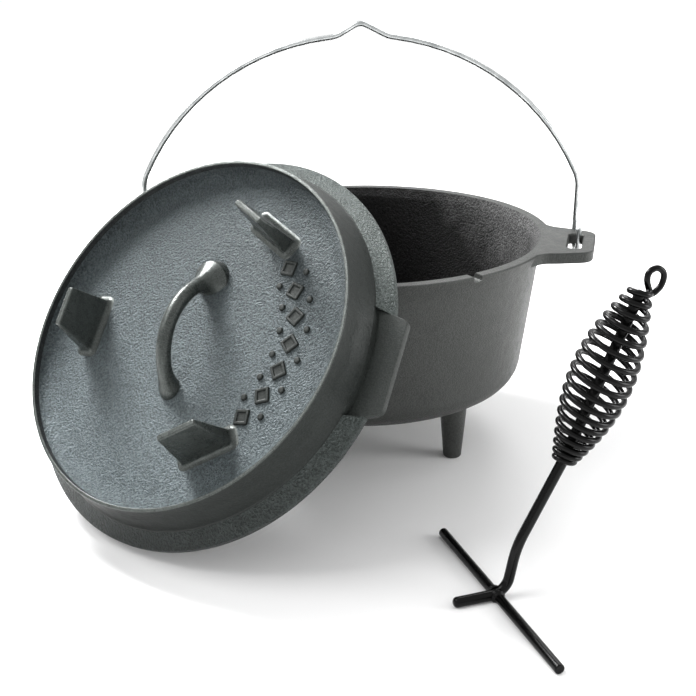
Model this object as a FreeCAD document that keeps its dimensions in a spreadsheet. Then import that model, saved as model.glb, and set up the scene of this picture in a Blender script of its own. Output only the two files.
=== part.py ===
"""Cast iron camp dutch oven: pot on three legs, wire bail, leaning lid and lid lifter.

Frame: millimetres, +Z up, origin on the ground under the middle of the pot, X along the
axis that the bail turns on. The lid and the lifter stand beside the pot on the same ground.
"""
import FreeCAD, Part
import os
import Sketcher
from math import atan2, cos, degrees, pi, radians, sin, sqrt
from FreeCAD import Placement, Rotation, Vector

NEAR = 0.05
UP = Vector(0, 0, 1)
ORIGIN = Vector(0, 0, 0)

# Every driving dimension: alias, value, what it is (mm and degrees).
DIMENSIONS = [
    # pot
    ("rim_top", 173.0, "height of the rim above the ground"),
    ("rim_outer", 152.4, "outer radius of the rim, a 12 inch pot"),
    ("rim_inner", 143.4, "radius of the inner edge of the rim's top face"),
    ("band_depth", 11.2, "depth of the thickened band under the rim"),
    ("band_foot", 148.3, "outer radius of the band's lower edge"),
    ("wall_outer_top", 144.1, "outer radius of the wall just under the band"),
    ("wall_outer_foot", 129.1, "outer radius where wall and base would meet"),
    ("wall_inner_top", 139.4, "inner radius of the wall below the rim's bevel"),
    ("wall_inner_foot", 124.9, "inner radius where wall and inside floor would meet"),
    ("bevel_depth", 8.0, "depth of the bevel inside the rim"),
    ("base_height", 51.5, "underside of the base above the ground"),
    ("base_thick", 6.0, "thickness of the base"),
    ("base_round", 20.5, "radius of the outer corner of the base"),
    ("floor_round", 14.0, "radius of the inner corner of the floor"),
    ("notch_wide", 7.3, "width of the thermometer notch in the rim"),
    ("notch_deep", 5.0, "depth of the thermometer notch"),
    ("notch_azimuth", -53.3, "direction of the thermometer notch"),
    # ears
    ("ear_azimuth", -9.1, "direction of the right ear; the left ear is opposite"),
    ("ear_thick", 8.5, "thickness of an ear"),
    ("ear_bed", 136.0, "distance out where an ear's outline starts inside the wall"),
    ("ear_bed_half", 54.0, "half width of an ear inside the wall"),
    ("ear_neck", 151.0, "distance out of the ear's neck"),
    ("ear_neck_half", 39.5, "half width of the neck"),
    ("ear_tip", 185.5, "distance out of the ear's straight end"),
    ("ear_tip_half", 28.9, "half width of the end before its corners are rounded"),
    ("ear_neck_round", 16.0, "radius where the ear flares into the rim"),
    ("ear_tip_round", 10.6, "radius of the two outer corners"),
    ("ear_edge_round", 1.5, "rounding of the ear's top and bottom edges"),
    ("slot_near", 165.0, "distance out of the slot's inner side"),
    ("slot_far", 176.0, "distance out of the slot's outer side"),
    ("slot_half", 20.5, "half length of the slot"),
    ("slot_round", 4.0, "radius of the slot's corners"),
    # legs
    ("leg_circle", 95.1, "distance of the legs from the pot's axis"),
    ("leg_foot", 7.1, "radius of a leg at the ground"),
    ("leg_middle", 10.1, "radius of a leg at its middle"),
    ("leg_middle_height", 35.0, "height of the middle section"),
    ("leg_neck", 10.9, "radius of a leg just under the base"),
    ("leg_neck_height", 46.0, "height of the neck"),
    ("leg_root", 13.5, "radius of the flare against the base"),
    ("leg_foot_round", 1.8, "rounding of the foot's edge"),
    ("leg_azimuth", -36.0, "direction of the first leg; the others follow at 120 degrees"),
    # bail
    ("bail_wire", 2.1, "radius of the bail's wire"),
    ("pivot_out", 171.67, "distance of each pivot from the pot's axis"),
    ("hook_radius", 10.6, "radius of a hook, to the middle of the wire"),
    ("hook_drift", 1.2, "sideways drift of the wire through the hook"),
    ("hook_end", 10.0, "height of the free end over the pivot"),
    ("shoulder_out", 172.7, "where the arch starts to bend, out from the middle"),
    ("shoulder_up", 44.3, "where the arch starts to bend, over the pivot"),
    ("shoulder_round", 28.0, "radius of that bend"),
    ("arch_out", 125.2, "corner of the arch's two tangents, out"),
    ("arch_up", 142.0, "corner of the arch's two tangents, up"),
    ("arch_round", 184.5, "radius of the arch"),
    ("kink_left", 18.5, "foot of the hanging kink, left"),
    ("kink_right", 21.5, "foot of the hanging kink, right"),
    ("kink_foot_up", 155.5, "height of the kink's feet over the pivot"),
    ("kink_foot_round", 24.0, "radius of the kink's feet"),
    ("kink_up", 166.3, "height of the kink's corner over the pivot"),
    ("kink_round", 9.0, "radius of the kink's top"),
    # lid
    ("lid_out_x", -100.1, "middle of the lid, X"),
    ("lid_out_y", -136.9, "middle of the lid, Y"),
    ("lid_out_z", 120.4, "middle of the lid, height"),
    ("lid_turn", -34.08, "direction of the lid's level diameter"),
    ("lid_lean", 49.41, "lean of the lid from level"),
    ("flange_outer", 150.5, "outer radius of the lid's flange"),
    ("flange_thick", 4.89, "thickness of the flange at its edge"),
    ("flange_round", 1.47, "rounding of the flange's edge"),
    ("lip_outer", 139.2, "outer radius of the lip that sits inside the pot's rim"),
    ("lip_deep", 2.0, "depth of that lip"),
    ("skirt_foot", 138.5, "radius of the skirt's foot"),
    ("skirt_foot_up", 12.1, "height of the skirt's foot over the flange's underside"),
    ("skirt_waist", 134.8, "radius of the skirt halfway up"),
    ("skirt_waist_up", 25.4, "height of that section"),
    ("crown_outer", 132.9, "outer radius of the lid's upper rim"),
    ("crown_inner", 130.5, "inner radius of the lid's upper rim"),
    ("crown_up", 38.5, "height of the lid's upper rim"),
    ("tray_wall", 130.0, "inner radius low on the upper rim"),
    ("tray_wall_up", 31.3, "height of that section"),
    ("tray_edge", 119.2, "radius where the flat plate ends"),
    ("plate_top", 25.9, "height of the plate's top"),
    ("plate_thick", 4.3, "thickness of the plate"),
    ("hollow_edge", 121.2, "radius of the plate's underside"),
    ("hollow_wall", 130.5, "inner radius of the skirt, high"),
    ("hollow_wall_up", 17.1, "height of that section"),
    ("hollow_foot", 134.9, "inner radius of the lip"),
    ("tab_angle", 8.0, "direction of the first lifting tab; the second is opposite"),
    ("tab_out", 157.9, "distance of a tab's straight edge from the lid's axis"),
    ("tab_tip_half", 32.7, "half width of a tab's straight edge before rounding"),
    ("tab_root_half", 38.7, "half width of a tab at the skirt"),
    ("tab_thick", 6.35, "thickness of a tab"),
    ("tab_round", 5.86, "radius of a tab's corners"),
    # lid handle
    ("handle_arc", 45.9, "radius of the loop handle's arch"),
    ("handle_drop", 21.0, "depth of the arch's centre under the plate"),
    ("handle_bar", 5.28, "radius of the handle's bar"),
    ("handle_root", 11.2, "radius of the handle's flared root"),
    ("handle_flare", 12.7, "length of the flare"),
    ("handle_angle", 95.8, "direction of the handle across the plate"),
    # lid feet
    ("foot_circle", 91.7, "distance of the lid's feet from its axis"),
    ("foot_angle", 69.0, "direction of the first foot; the others follow at 120 degrees"),
    ("foot_base_wide", 41.1, "width of a foot at the plate"),
    ("foot_base_thick", 11.2, "thickness of a foot at the plate"),
    ("foot_top_wide", 29.3, "width of a foot at its top"),
    ("foot_top_thick", 4.4, "thickness of a foot at its top"),
    ("foot_tall", 36.7, "height of a foot over the plate"),
    ("foot_round", 1.17, "rounding of a foot's edges"),
    # cast ornament on the lid
    ("ornament_circle", 86.0, "distance of the lozenges from the lid's axis"),
    ("ornament_side", 10.8, "side of a lozenge"),
    ("ornament_tall", 1.37, "height of the ornament over the plate"),
    ("stud_radius", 2.35, "radius of a round stud"),
    ("ornament_first", -31.0, "direction of the first lozenge"),
    ("ornament_step", 13.2, "angle between lozenges"),
    # lid lifter
    ("lifter_x", 102.7, "where the lifter's crossbar and rod cross, X"),
    ("lifter_y", -264.7, "where the lifter's crossbar and rod cross, Y"),
    ("lifter_azimuth", 23.33, "direction of the plane that the rod is bent in"),
    ("rod_radius", 3.5, "radius of the rod"),
    ("hook_back", 30.0, "length of the foot behind the crossbar"),
    ("heel_out", 7.0, "corner of the heel, forward of the crossbar"),
    ("heel_round", 8.0, "radius of the heel"),
    ("knee_out", 13.2, "corner of the knee, forward"),
    ("knee_up", 35.7, "height of the knee"),
    ("knee_round", 40.0, "radius of the knee"),
    ("neck_out", 43.0, "lower end of the grip, forward"),
    ("neck_up", 92.0, "lower end of the grip, height"),
    ("grip_top_out", 90.2, "upper end of the grip, forward"),
    ("grip_top_up", 200.0, "upper end of the grip, height"),
    ("arm_radius", 3.3, "radius of the crossbar"),
    ("arm_long", 85.3, "length of each half of the crossbar"),
    ("weld_radius", 5.0, "radius of a weld bead at the rod"),
    ("weld_long", 4.6, "length of a weld bead along the crossbar"),
    ("coil_wire", 2.0, "radius of the grip's wire"),
    ("coil_end", 5.5, "radius of the end turns, to the middle of the wire"),
    ("coil_bulge", 13.6, "how much wider the middle turns are"),
    ("coil_turns", 18.0, "number of turns"),
    ("eye_radius", 5.6, "radius of the hanging eye's corners"),
]

doc = FreeCAD.newDocument("DutchOven")
sheet = doc.addObject("Spreadsheet::Sheet", "Sizes")


def fill_sheet():
    """Write every dimension and its note into the sheet."""
    for row, (alias, value, note) in enumerate(DIMENSIONS, 1):
        sheet.set(f"A{row}", alias)
        sheet.set(f"B{row}", str(value))
        sheet.setAlias(f"B{row}", alias)
        sheet.set(f"C{row}", note)
    doc.recompute()


fill_sheet()


class Dim:
    """A length together with the spreadsheet expression that gives it."""

    def __init__(self, value, text):
        self.value = value
        self.text = text

    def __add__(self, other):
        return Dim(self.value + other.value, f"({self.text} + {other.text})")

    def __sub__(self, other):
        return Dim(self.value - other.value, f"({self.text} - {other.text})")

    def __mul__(self, factor):
        return Dim(self.value * factor, f"({self.text} * {factor})")

    def __neg__(self):
        return Dim(-self.value, f"(-{self.text})")


def size(alias):
    """The value of one cell."""
    return float(sheet.get(alias))


def dim(alias):
    """One cell as a length that a sketch can be bound to."""
    return Dim(size(alias), f"Sizes.{alias}")


NIL = Dim(0.0, "0")


# ------------------------------------------------------------------ modelling helpers

def new_body(name):
    """A PartDesign body labelled with its node's name."""
    body = doc.addObject("PartDesign::Body", name)
    body.Label = name
    return body


def plane_of(body, role):
    """One of the body's own origin planes."""
    for item in body.Origin.OriginFeatures:
        if item.Role == role:
            return item
    raise RuntimeError(f"{body.Label} has no {role}")


def new_sketch(body, role, name, height=NIL, azimuth=0.0):
    """A sketch on one of the body's origin planes, lifted and turned about its normal."""
    sketch = body.newObject("Sketcher::SketchObject", name)
    sketch.AttachmentSupport = (plane_of(body, role), [""])
    sketch.MapMode = "FlatFace"
    sketch.AttachmentOffset = Placement(Vector(0, 0, height.value), Rotation(UP, azimuth))
    if height is not NIL:
        sketch.setExpression("AttachmentOffset.Base.z", height.text)
    return sketch


def pin(sketch, line, axis, length):
    """Fix the start of a line along one axis to a cell, or to the axis itself at zero."""
    if length.value == 0.0:
        axis_line = -2 if axis == "DistanceX" else -1
        sketch.addConstraint(Sketcher.Constraint("PointOnObject", line, 1, axis_line))
        return
    number = sketch.addConstraint(Sketcher.Constraint(axis, -1, 1, line, 1, length.value))
    sketch.setExpression(f"Constraints[{number}]", length.text)


def draw(sketch, points, arc_first=False):
    """Draw a closed outline through (x, y) lengths and bind each corner to the sheet.

    With arc_first the first side is an arc about the sketch's origin.
    """
    corners = [Vector(x.value, y.value, 0) for x, y in points]
    count = len(corners)
    for index, corner in enumerate(corners):
        following = corners[(index + 1) % count]
        if index == 0 and arc_first:
            circle = Part.Circle(ORIGIN, UP, corner.Length)
            start = atan2(corner.y, corner.x)
            sketch.addGeometry(Part.ArcOfCircle(circle, start, atan2(following.y, following.x)), False)
            sketch.addConstraint(Sketcher.Constraint("Coincident", 0, 3, -1, 1))
        else:
            sketch.addGeometry(Part.LineSegment(corner, following), False)
    for index in range(count):
        sketch.addConstraint(Sketcher.Constraint("Coincident", index, 2, (index + 1) % count, 1))
    for index, (x, y) in enumerate(points):
        if not (arc_first and index == 1):
            pin(sketch, index, "DistanceX", x)
        pin(sketch, index, "DistanceY", y)


def revolve(body, points, name):
    """Turn a half section, drawn in X and Z, about the vertical axis."""
    sketch = new_sketch(body, "XZ_Plane", name + "_section")
    draw(sketch, points)
    turned = body.newObject("PartDesign::Revolution", name + "_turned")
    turned.Profile = sketch
    turned.ReferenceAxis = (sketch, ["V_Axis"])
    turned.Angle = 360.0
    doc.recompute()
    return turned


def pad(body, sketch, name, length):
    """Raise a sketch by a length from the sheet."""
    feature = body.newObject("PartDesign::Pad", name)
    feature.Profile = sketch
    feature.Length = length.value
    feature.setExpression("Length", length.text)
    doc.recompute()
    return feature


def pocket(body, sketch, name, length, upwards=False):
    """Cut a sketch down, or up, by a length, and make sure that it cut something."""
    before = body.Shape.Volume
    feature = body.newObject("PartDesign::Pocket", name)
    feature.Profile = sketch
    feature.Length = length.value
    feature.setExpression("Length", length.text)
    feature.Reversed = upwards
    doc.recompute()
    if feature.Shape.Volume > before - 1.0:
        raise RuntimeError(f"{name} cut nothing")
    return feature


def fillet(body, base, name, radius, edges):
    """Round the named edges with a radius from the sheet."""
    feature = body.newObject("PartDesign::Fillet", name)
    feature.Base = (base, edges)
    feature.Radius = radius.value
    feature.setExpression("Radius", radius.text)
    doc.recompute()
    return feature


def ring_edges(base, radius, height):
    """Names of the level circular edges with this radius at this height."""
    names = []
    for number, edge in enumerate(base.Shape.Edges, 1):
        curve = edge.Curve
        if isinstance(curve, Part.Circle):
            same_size = abs(curve.Radius - radius) < NEAR
            same_height = abs(curve.Center.z - height) < NEAR
            if same_size and same_height:
                names.append(f"Edge{number}")
    return names


def upright_edges(base, places):
    """Names of the vertical edges that pass through the given (x, y) places."""
    names = []
    for number, edge in enumerate(base.Shape.Edges, 1):
        first = edge.Vertexes[0].Point
        last = edge.Vertexes[-1].Point
        level = Vector(first.x - last.x, first.y - last.y, 0).Length
        if level > NEAR or abs(first.z - last.z) < NEAR:
            continue
        for x, y in places:
            if Vector(first.x - x, first.y - y, 0).Length < NEAR:
                names.append(f"Edge{number}")
    return names


def level_edges(base, height):
    """Names of the edges that lie wholly at one height."""
    names = []
    for number, edge in enumerate(base.Shape.Edges, 1):
        box = edge.BoundBox
        if abs(box.ZMin - height) < NEAR and abs(box.ZMax - height) < NEAR:
            names.append(f"Edge{number}")
    return names


def rounded_path(points, radii):
    """A wire of straight runs joined by tangent arcs, one radius for each inner corner."""
    edges = []
    here = points[0]
    for index, radius in enumerate(radii, 1):
        corner = points[index]
        back = (points[index - 1] - corner).normalize()
        ahead = (points[index + 1] - corner).normalize()
        half = back.getAngle(ahead) / 2
        middle = (back + ahead).normalize()
        start = corner + back * (radius * cos(half) / sin(half))
        end = corner + ahead * (radius * cos(half) / sin(half))
        deepest = corner + middle * (radius / sin(half) - radius)
        if (start - here).Length > NEAR:
            edges.append(Part.LineSegment(here, start).toShape())
        edges.append(Part.Arc(start, deepest, end).toShape())
        here = end
    edges.append(Part.LineSegment(here, points[-1]).toShape())
    return Part.Wire(edges)


def bent_wire(name, points, radii, alias):
    """A round wire along a rounded path, its radius bound to the sheet."""
    path = doc.addObject("Part::Feature", name + "_path")
    path.Shape = rounded_path(points, radii)
    circle = doc.addObject("Part::Circle", name + "_circle")
    circle.setExpression("Radius", f"Sizes.{alias}")
    circle.Placement = Placement(points[0], Rotation(UP, points[1] - points[0]))
    wire = doc.addObject("Part::Sweep", name)
    wire.Sections = [circle]
    wire.Spine = (path, [f"Edge{n}" for n in range(1, len(path.Shape.Edges) + 1)])
    wire.Solid = True
    wire.Frenet = False
    wire.Label = name
    doc.recompute()
    expected = pi * size(alias) ** 2 * path.Shape.Length
    print(f"{name}: volume over section times length {wire.Shape.Volume / expected:.4f}")
    return wire


def primitive(kind, name, placement, **bound):
    """A Part primitive with its properties bound to expressions."""
    item = doc.addObject("Part::" + kind, name)
    for prop, text in bound.items():
        item.setExpression(prop, text)
    item.Placement = placement
    return item


def combined(kind, name, first, second):
    """A Part::Cut or Part::Common of two objects."""
    item = doc.addObject("Part::" + kind, name)
    item.Base = first
    item.Tool = second
    item.Label = name
    return item


def grouped(kind, name, pieces):
    """A Part::MultiFuse or Part::Compound of several objects."""
    item = doc.addObject("Part::" + kind, name)
    if kind == "Compound":
        item.Links = pieces
    else:
        item.Shapes = pieces
    item.Label = name
    return item


def turned(x, y, azimuth):
    """A place turned about the origin."""
    c = cos(radians(azimuth))
    s = sin(radians(azimuth))
    return x * c - y * s, x * s + y * c


# ------------------------------------------------------------------ pot

def make_bowl():
    """The pot's bowl with its thickened rim and the thermometer notch."""
    body = new_body("pot_bowl")
    band_low = dim("rim_top") - dim("band_depth")
    floor = dim("base_height") + dim("base_thick")
    shape = revolve(body, [
        (NIL, dim("base_height")),
        (dim("wall_outer_foot"), dim("base_height")),
        (dim("wall_outer_top"), band_low),
        (dim("band_foot"), band_low),
        (dim("rim_outer"), dim("rim_top")),
        (dim("rim_inner"), dim("rim_top")),
        (dim("wall_inner_top"), dim("rim_top") - dim("bevel_depth")),
        (dim("wall_inner_foot"), floor),
        (NIL, floor),
    ], "bowl")
    foot_ring = ring_edges(shape, size("wall_outer_foot"), size("base_height"))
    shape = fillet(body, shape, "bowl_base_round", dim("base_round"), foot_ring)
    floor_ring = ring_edges(shape, size("wall_inner_foot"), floor.value)
    shape = fillet(body, shape, "bowl_floor_round", dim("floor_round"), floor_ring)
    cut = new_sketch(body, "XY_Plane", "notch_outline", dim("rim_top"), size("notch_azimuth"))
    half = dim("notch_wide") * 0.5
    draw(cut, [
        (dim("wall_inner_foot"), -half),
        (dim("rim_outer") + half, -half),
        (dim("rim_outer") + half, half),
        (dim("wall_inner_foot"), half),
    ])
    pocket(body, cut, "notch", dim("notch_deep"))
    return body


def make_ear(side, azimuth, bowl):
    """One ear with its long slot, cut to meet the bowl face to face."""
    body = new_body(f"ear_{side}_blank")
    bottom = dim("rim_top") - dim("ear_thick")
    outline = new_sketch(body, "XY_Plane", f"ear_{side}_outline", bottom)
    draw(outline, [
        (dim("ear_bed"), -dim("ear_bed_half")),
        (dim("ear_bed"), dim("ear_bed_half")),
        (dim("ear_neck"), dim("ear_neck_half")),
        (dim("ear_tip"), dim("ear_tip_half")),
        (dim("ear_tip"), -dim("ear_tip_half")),
        (dim("ear_neck"), -dim("ear_neck_half")),
    ], arc_first=True)
    shape = pad(body, outline, f"ear_{side}_pad", dim("ear_thick"))
    slot = new_sketch(body, "XY_Plane", f"ear_{side}_slot_outline", dim("rim_top"))
    draw(slot, [
        (dim("slot_near"), -dim("slot_half")),
        (dim("slot_far"), -dim("slot_half")),
        (dim("slot_far"), dim("slot_half")),
        (dim("slot_near"), dim("slot_half")),
    ])
    shape = pocket(body, slot, f"ear_{side}_slot", dim("ear_thick"))
    roundings = [
        ("slot", "slot_round", ("slot_near", "slot_far"), "slot_half"),
        ("tip", "ear_tip_round", ("ear_tip",), "ear_tip_half"),
        ("neck", "ear_neck_round", ("ear_neck",), "ear_neck_half"),
    ]
    for what, radius, distances, half in roundings:
        places = [(size(out), way * size(half)) for out in distances for way in (-1, 1)]
        edges = upright_edges(shape, places)
        shape = fillet(body, shape, f"ear_{side}_{what}_round", dim(radius), edges)
    rims = level_edges(shape, bottom.value) + level_edges(shape, size("rim_top"))
    fillet(body, shape, f"ear_{side}_edge_round", dim("ear_edge_round"), rims)
    body.Placement = Placement(ORIGIN, Rotation(UP, azimuth))
    return combined("Cut", f"pot_ear_{side}", body, bowl)


def make_leg(side, azimuth):
    """One tapered round leg, flared where it meets the base."""
    body = new_body(f"pot_leg_{side}")
    shape = revolve(body, [
        (NIL, NIL),
        (dim("leg_foot"), NIL),
        (dim("leg_middle"), dim("leg_middle_height")),
        (dim("leg_neck"), dim("leg_neck_height")),
        (dim("leg_root"), dim("base_height")),
        (NIL, dim("base_height")),
    ], f"leg_{side}")
    edges = ring_edges(shape, size("leg_foot"), 0.0)
    fillet(body, shape, f"leg_{side}_foot_round", dim("leg_foot_round"), edges)
    x, y = turned(size("leg_circle"), 0.0, azimuth)
    body.Placement = Placement(Vector(x, y, 0), Rotation(UP, azimuth))
    return body


# ------------------------------------------------------------------ bail

def make_bail():
    """The wire bail: a hook round the end of each ear's slot, an arch and a hanging kink."""
    pivot = size("rim_top") - size("ear_thick") / 2
    reach = size("pivot_out")
    ring = size("hook_radius")
    drift = size("hook_drift")
    level = Vector(reach, ring, 0).normalize()

    def arch(along, up):
        return level * along + Vector(0, 0, pivot + up)

    def hook(way):
        """Leg, bottom and free end of one hook, from the arch outwards."""
        return [
            Vector(way * reach, way * ring, pivot - ring),
            Vector(way * (reach + drift), -way * ring, pivot - ring),
            Vector(way * (reach + drift), -way * ring, pivot + size("hook_end")),
        ]

    shoulder = (size("shoulder_out"), size("shoulder_up"))
    corner = (size("arch_out"), size("arch_up"))
    left = [arch(-along, up) for along, up in (shoulder, corner)]
    right = [arch(along, up) for along, up in (corner, shoulder)]
    kink = [
        arch(-size("kink_left"), size("kink_foot_up")),
        arch(0.0, size("kink_up")),
        arch(size("kink_right"), size("kink_foot_up")),
    ]
    points = hook(-1)[::-1] + left + kink + right + hook(1)
    hook_turn = ring - 2 * NEAR
    side = [hook_turn, hook_turn, size("shoulder_round"), size("arch_round")]
    middle = [size("kink_foot_round"), size("kink_round"), size("kink_foot_round")]
    return bent_wire("bail_wire", points, side + middle + side[::-1], "bail_wire")


# ------------------------------------------------------------------ lid

def lid_pose():
    """Where the leaning lid's own frame lies, its plate resting over the pot's rim."""
    place = Vector(size("lid_out_x"), size("lid_out_y"), size("lid_out_z"))
    turn = Rotation(UP, size("lid_turn"))
    return Placement(place, turn.multiply(Rotation(Vector(1, 0, 0), size("lid_lean"))))


def make_lid_dish():
    """The lid's casting: flange, skirt, upper rim, plate and the two lifting tabs."""
    body = new_body("lid_dish")
    under = dim("plate_top") - dim("plate_thick")
    shape = revolve(body, [
        (NIL, under),
        (dim("hollow_edge"), under),
        (dim("hollow_wall"), dim("hollow_wall_up")),
        (dim("hollow_foot"), -dim("lip_deep")),
        (dim("lip_outer"), -dim("lip_deep")),
        (dim("lip_outer"), NIL),
        (dim("flange_outer"), NIL),
        (dim("flange_outer"), dim("flange_thick")),
        (dim("skirt_foot"), dim("skirt_foot_up")),
        (dim("skirt_waist"), dim("skirt_waist_up")),
        (dim("crown_outer"), dim("crown_up")),
        (dim("crown_inner"), dim("crown_up")),
        (dim("tray_wall"), dim("tray_wall_up")),
        (dim("tray_edge"), dim("plate_top")),
        (NIL, dim("plate_top")),
    ], "lid")
    edge = ring_edges(shape, size("flange_outer"), 0.0)
    edge += ring_edges(shape, size("flange_outer"), size("flange_thick"))
    shape = fillet(body, shape, "lid_edge_round", dim("flange_round"), edge)
    for number in range(2):
        shape = add_tab(body, number, size("tab_angle") + 180 * number)
    return body


def add_tab(body, number, azimuth):
    """A flat tab past the flange, with the flange's slope cut away over it."""
    reach = sqrt(size("skirt_foot") ** 2 - size("tab_root_half") ** 2)
    start = Dim(reach, "sqrt(Sizes.skirt_foot ^ 2 - Sizes.tab_root_half ^ 2)")
    over = new_sketch(body, "XY_Plane", f"tab_{number}_step", dim("tab_thick"), azimuth)
    draw(over, [
        (start, -dim("tab_root_half")),
        (start, dim("tab_root_half")),
        (dim("tab_out"), dim("tab_tip_half")),
        (dim("tab_out"), -dim("tab_tip_half")),
    ], arc_first=True)
    pocket(body, over, f"tab_{number}_cut", dim("skirt_foot_up"), upwards=True)
    outline = new_sketch(body, "XY_Plane", f"tab_{number}_outline", azimuth=azimuth)
    draw(outline, [
        (dim("lip_outer"), -dim("tab_root_half")),
        (dim("tab_out"), -dim("tab_tip_half")),
        (dim("tab_out"), dim("tab_tip_half")),
        (dim("lip_outer"), dim("tab_root_half")),
    ])
    shape = pad(body, outline, f"tab_{number}_pad", dim("tab_thick"))
    tip = [turned(size("tab_out"), way * size("tab_tip_half"), azimuth) for way in (-1, 1)]
    return fillet(body, shape, f"tab_{number}_round", dim("tab_round"), upright_edges(shape, tip))


def make_lid_handle():
    """The arched loop handle with flared roots, trimmed at the plate."""
    across = Rotation(UP, size("handle_angle"))
    centre = Vector(0, 0, size("plate_top") - size("handle_drop"))
    stand = across.multiply(Rotation(Vector(1, 0, 0), 90))
    pieces = [primitive("Torus", "handle_arch", Placement(centre, stand),
                        Radius1="Sizes.handle_arc", Radius2="Sizes.handle_bar")]
    half = sqrt(size("handle_arc") ** 2 - size("handle_drop") ** 2)
    lean = degrees(atan2(size("handle_drop"), half))
    for way in (-1, 1):
        root = across.multVec(Vector(way * half, 0, 0)) + Vector(0, 0, size("plate_top"))
        tilt = across.multiply(Rotation(Vector(0, 1, 0), -way * lean))
        start = root - tilt.multVec(UP) * size("handle_bar")
        pieces.append(primitive("Cone", "handle_flare_" + ("a" if way < 0 else "b"),
                                Placement(start, tilt), Radius1="Sizes.handle_root",
                                Radius2="Sizes.handle_bar", Height="Sizes.handle_flare"))
    whole = grouped("MultiFuse", "handle_whole", pieces)
    reach = 2 * size("handle_arc")
    corner = Vector(-reach, -reach, size("plate_top"))
    above = primitive("Box", "handle_space", Placement(corner, Rotation()),
                      Length="4 * Sizes.handle_arc", Width="4 * Sizes.handle_arc",
                      Height="4 * Sizes.handle_arc")
    return combined("Common", "lid_handle", whole, above)


def make_lid_foot(side, azimuth, pose):
    """One wedge-shaped foot that the lid stands on when it is turned over."""
    stand = Rotation(Vector(1, 1, 1), 120)
    place = Placement(Vector(size("foot_circle"), 0, size("plate_top")), stand)
    wedge = primitive("Wedge", f"foot_{side}_wedge", place,
                      Xmin="-Sizes.foot_base_wide / 2", Xmax="Sizes.foot_base_wide / 2",
                      Zmin="-Sizes.foot_base_thick / 2", Zmax="Sizes.foot_base_thick / 2",
                      X2min="-Sizes.foot_top_wide / 2", X2max="Sizes.foot_top_wide / 2",
                      Z2min="-Sizes.foot_top_thick / 2", Z2max="Sizes.foot_top_thick / 2",
                      Ymin="0", Ymax="Sizes.foot_tall")
    doc.recompute()
    low = level_edges(wedge, size("plate_top"))
    radius = size("foot_round")
    foot = doc.addObject("Part::Fillet", f"lid_foot_{side}")
    foot.Base = wedge
    foot.Edges = [(number, radius, radius) for number in range(1, len(wedge.Shape.Edges) + 1)
                  if f"Edge{number}" not in low]
    foot.Label = f"lid_foot_{side}"
    foot.Placement = pose.multiply(Placement(ORIGIN, Rotation(UP, azimuth)))
    return foot


def make_lid_ornament():
    """A raised chain of lozenges and round studs cast on the plate."""
    pieces = []
    plate = size("plate_top")
    side = size("ornament_side")
    for number in range(7):
        azimuth = size("ornament_first") + number * size("ornament_step")
        x, y = turned(size("ornament_circle"), 0.0, azimuth)
        turn = Rotation(UP, azimuth + 45)
        corner = Vector(x, y, plate) - turn.multVec(Vector(side / 2, side / 2, 0))
        pieces.append(primitive("Box", f"lozenge_{number}", Placement(corner, turn),
                                Length="Sizes.ornament_side", Width="Sizes.ornament_side",
                                Height="Sizes.ornament_tall"))
    for number in range(6):
        azimuth = size("ornament_first") + (number + 0.5) * size("ornament_step")
        for row, out in enumerate((-side, side)):
            x, y = turned(size("ornament_circle") + out, 0.0, azimuth)
            pieces.append(primitive("Cylinder", f"stud_{number}_{row}",
                                    Placement(Vector(x, y, plate), Rotation()),
                                    Radius="Sizes.stud_radius", Height="Sizes.ornament_tall"))
    return grouped("Compound", "lid_ornament", pieces)


# ------------------------------------------------------------------ lifter

def lifter_point(out, up):
    """A place in the upright plane that the lifter's rod is bent in."""
    x, y = turned(out, 0.0, size("lifter_azimuth"))
    return Vector(size("lifter_x") + x, size("lifter_y") + y, up)


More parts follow.
